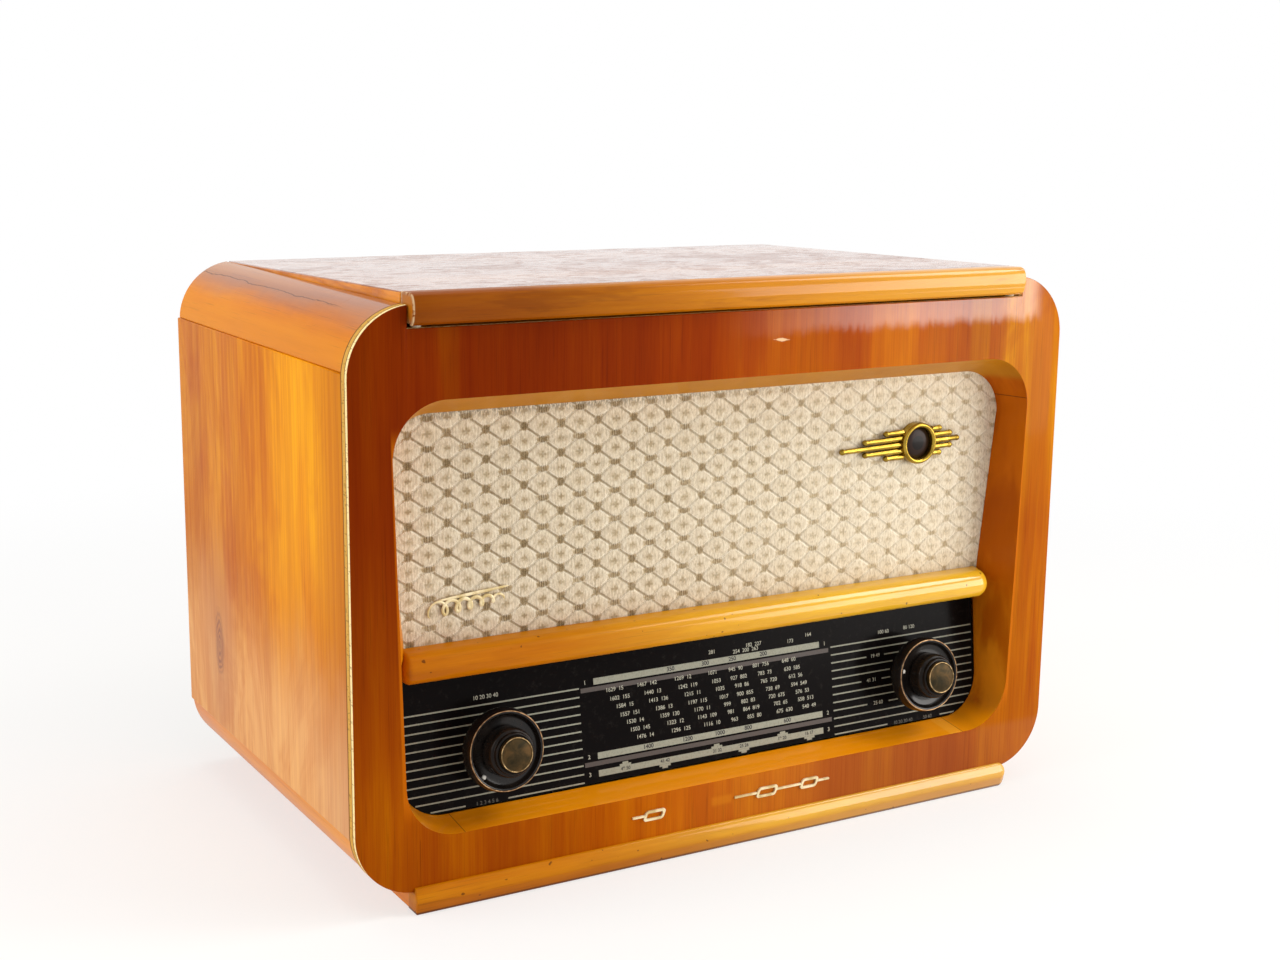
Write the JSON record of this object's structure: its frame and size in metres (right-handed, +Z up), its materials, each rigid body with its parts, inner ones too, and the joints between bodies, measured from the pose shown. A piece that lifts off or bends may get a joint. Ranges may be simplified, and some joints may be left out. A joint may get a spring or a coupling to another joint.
{
  "type": "radio receiver",
  "caption": "Table valve radio in a rounded veneered case with cloth grille, sloping dial, concentric knobs and a record player under a hinged lid.",
  "frame": {"origin": "under the middle of the object, on the surface it stands on", "axes": "+X to the right along the front, +Y to the back, +Z up"},
  "size_m": [0.494, 0.3125, 0.3484],
  "materials": {
    "front_veneer": "polished lacquer",
    "side_veneer": "polished lacquer",
    "moulding_wood": "polished lacquer",
    "lid_veneer": "polished lacquer",
    "plain_wood": "bare",
    "cloth": "woven",
    "gilt": "gilt",
    "eye_glass": "clear",
    "valve_glass": "clear",
    "dial_glass": "back-painted",
    "dark_plate": "matt paint",
    "lamp_glass": "clear",
    "red_paint": "paint",
    "dark_bakelite": "polished",
    "tin_plate": "plated",
    "aluminium": "satin",
    "brown_bakelite": "moulded",
    "grey_steel": "paint",
    "paper_cone": "pressed paper",
    "hardboard": "pressed board",
    "brass": "satin",
    "white_rubber": "matt",
    "deck_wood": "satin lacquer",
    "black_rubber": "matt",
    "arm_grey": "hammered paint",
    "cream_plastic": "moulded"
  },
  "bodies": {
    "root": {"front_board": "front_veneer", "side_panel_left": "side_veneer", "side_panel_right": "side_veneer", "corner_moulding_top_left": "moulding_wood", "corner_moulding_top_right": "moulding_wood", "corner_moulding_bottom_left": "moulding_wood", "corner_moulding_bottom_right": "moulding_wood", "bottom_board": "plain_wood", "plinth_frame": "plain_wood", "base_moulding": "moulding_wood", "rear_frame": "plain_wood", "opening_liner": "moulding_wood", "cross_rail": "moulding_wood", "baffle_board": "plain_wood", "speaker_cloth": "cloth", "magic_eye_bezel": "gilt", "magic_eye_tube": "eye_glass", "gilt_trims": "gilt", "dial_glass": "dial_glass", "dial_backplate": "dark_plate", "dial_lamps": "lamp_glass", "volume_control": "tin_plate", "band_switch": "tin_plate", "tuning_capacitor": "tin_plate", "chassis": "tin_plate", "mains_transformer": "grey_steel", "output_transformer": "grey_steel", "valves": "valve_glass", "valve_sockets": "brown_bakelite", "screened_cans": "aluminium", "loudspeaker_frame": "grey_steel", "loudspeaker_cone": "paper_cone", "socket_panel": "brown_bakelite", "rear_cover": "hardboard", "rear_cover_screws": "tin_plate", "hinge_leaves_fixed": "brass", "lid_buffers": "white_rubber", "motor_board": "deck_wood", "board_fittings": "tin_plate", "turntable_motor": "grey_steel", "turntable_spindle": "tin_plate", "arm_base": "arm_grey"},
    "lid": {"lid_panel": "lid_veneer", "lid_moulding": "moulding_wood", "hinge_leaves_lid": "brass", "lid_quadrant": "brass"},
    "tone": {"tone_knob": "dark_bakelite"},
    "volume": {"volume_knob": "dark_bakelite"},
    "band": {"band_knob": "dark_bakelite"},
    "tuning": {"tuning_knob": "dark_bakelite"},
    "pointer": {"dial_pointer": "red_paint"},
    "rotor": {"capacitor_rotor": "aluminium", "drive_drum": "brown_bakelite"},
    "platter": {"platter": "aluminium", "platter_mat": "black_rubber"},
    "idler": {"idler_wheel": "black_rubber"},
    "pulley": {"motor_pulley": "brass"},
    "turret": {"arm_turret": "tin_plate"},
    "tonearm": {"tonearm": "cream_plastic"},
    "lever": {"speed_lever": "tin_plate"}
  },
  "joints": [
    {"name": "lid_hinge", "type": "hinge", "parent": "root", "child": "lid", "pos_m": [0, 0.15295, 0.3297], "axis": [-1, 0, 0], "range_deg": [0, 75]},
    {"name": "tone_turn", "type": "hinge", "parent": "root", "child": "tone", "pos_m": [-0.153, -0.13753, 0.0841], "axis": [0, -0.9903, 0.1392], "range_deg": [-135, 135]},
    {"name": "volume_turn", "type": "hinge", "parent": "root", "child": "volume", "pos_m": [-0.153, -0.13753, 0.0841], "axis": [0, -0.9903, 0.1392], "range_deg": [-145, 145]},
    {"name": "band_turn", "type": "hinge", "parent": "root", "child": "band", "pos_m": [0.153, -0.13753, 0.0841], "axis": [0, -0.9903, 0.1392], "range_deg": [-45, 45]},
    {"name": "tuning_turn", "type": "hinge", "parent": "root", "child": "tuning", "pos_m": [0.153, -0.13753, 0.0841], "axis": [0, -0.9903, 0.1392], "range_deg": [-900, 900]},
    {"name": "pointer_slide", "type": "slide", "parent": "root", "child": "pointer", "axis": [1, 0, 0], "range_m": [-0.082, 0.082]},
    {"name": "gang_turn", "type": "hinge", "parent": "root", "child": "rotor", "pos_m": [0.06, -0.03555, 0.098], "axis": [0, -1, 0], "range_deg": [-90, 90]},
    {"name": "platter_spin", "type": "hinge", "parent": "root", "child": "platter", "pos_m": [-0.045, 0.01445, 0.3], "axis": [0, 0, -1], "continuous": true},
    {"name": "idler_spin", "type": "hinge", "parent": "root", "child": "idler", "pos_m": [-0.10506, 0.07451, 0.295], "axis": [0, 0, -1], "continuous": true},
    {"name": "pulley_spin", "type": "hinge", "parent": "root", "child": "pulley", "pos_m": [-0.12767, 0.06628, 0.294], "axis": [0, 0, -1], "continuous": true},
    {"name": "arm_swing", "type": "hinge", "parent": "root", "child": "turret", "pos_m": [0.13, 0.10445, 0.3], "axis": [0, 0, -1], "range_deg": [0, 47]},
    {"name": "arm_lift", "type": "hinge", "parent": "turret", "child": "tonearm", "pos_m": [0.13, 0.10445, 0.314], "axis": [-1, 0, 0], "range_deg": [0, 4]},
    {"name": "speed_select", "type": "hinge", "parent": "root", "child": "lever", "pos_m": [-0.19, -0.07955, 0.29], "axis": [0, 0, 1], "range_deg": [-25, 25]}
  ],
  "couplings": [
    {"joint": "pointer_slide", "follows": "tuning_turn", "m_per_rad": 0.00522},
    {"joint": "gang_turn", "follows": "tuning_turn", "ratio": 0.1},
    {"joint": "idler_spin", "follows": "platter_spin", "ratio": 5.25},
    {"joint": "pulley_spin", "follows": "platter_spin", "ratio": -26.25}
  ]
}
